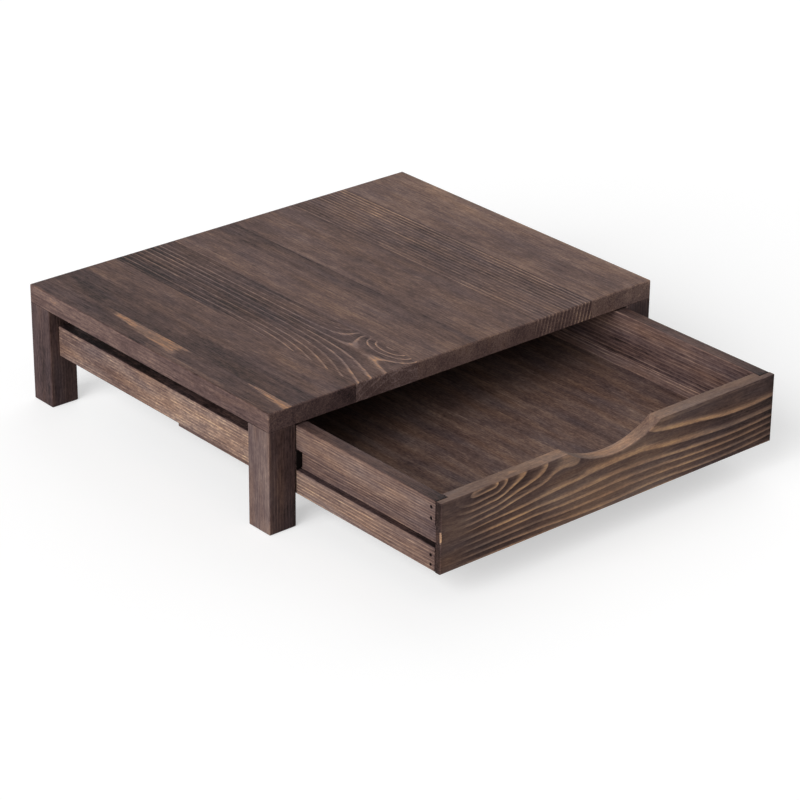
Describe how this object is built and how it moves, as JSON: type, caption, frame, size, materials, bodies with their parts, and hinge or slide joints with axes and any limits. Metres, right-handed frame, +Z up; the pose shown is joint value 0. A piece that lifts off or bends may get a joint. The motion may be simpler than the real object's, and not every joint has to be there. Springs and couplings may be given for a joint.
{
  "type": "coffee pod drawer",
  "caption": "Low four-legged wooden stand with a shallow slide-out drawer for coffee pods under its edge-glued top.",
  "frame": {"origin": "centre of the footprint on the floor, with the drawer open as far as it rests", "axes": "+X to the right of someone facing the drawer's front, -Y out of the drawer's front, +Z up"},
  "size_m": [0.4, 0.482, 0.103],
  "materials": {
    "top_pine": "edge-glued pine, dark walnut stain under satin lacquer",
    "frame_pine": "solid pine, dark walnut stain under satin lacquer",
    "drawer_pine": "solid flat-sawn pine, dark walnut stain under satin lacquer",
    "runner_pine": "pine strip, near-black stain, waxed",
    "panel_plywood": "thin plywood, walnut stain",
    "dowel_beech": "fluted beech dowel, bare",
    "fastener_steel": "zinc-plated steel"
  },
  "bodies": {
    "stand": {"top_stave_1": "top_pine", "top_stave_2": "top_pine", "top_stave_3": "top_pine", "top_stave_4": "top_pine", "top_stave_5": "top_pine", "top_stave_6": "top_pine", "top_stave_7": "top_pine", "leg_front_left": "frame_pine", "leg_front_right": "frame_pine", "leg_back_left": "frame_pine", "leg_back_right": "frame_pine", "side_rail_left": "frame_pine", "side_rail_right": "frame_pine", "runner_left": "runner_pine", "runner_right": "runner_pine", "leg_dowels": "dowel_beech", "rail_dowels": "dowel_beech", "runner_screws": "fastener_steel"},
    "drawer": {"drawer_front": "drawer_pine", "drawer_back": "drawer_pine", "drawer_bottom": "panel_plywood", "drawer_side_upper_left": "drawer_pine", "drawer_side_upper_right": "drawer_pine", "drawer_side_lower_left": "drawer_pine", "drawer_side_lower_right": "drawer_pine", "front_brads": "fastener_steel", "back_brads": "fastener_steel", "panel_brads": "fastener_steel"}
  },
  "joints": [
    {"name": "drawer_slide", "type": "slide", "parent": "stand", "child": "drawer", "axis": [0, -1, 0], "range_m": [-0.16, 0.08]}
  ]
}
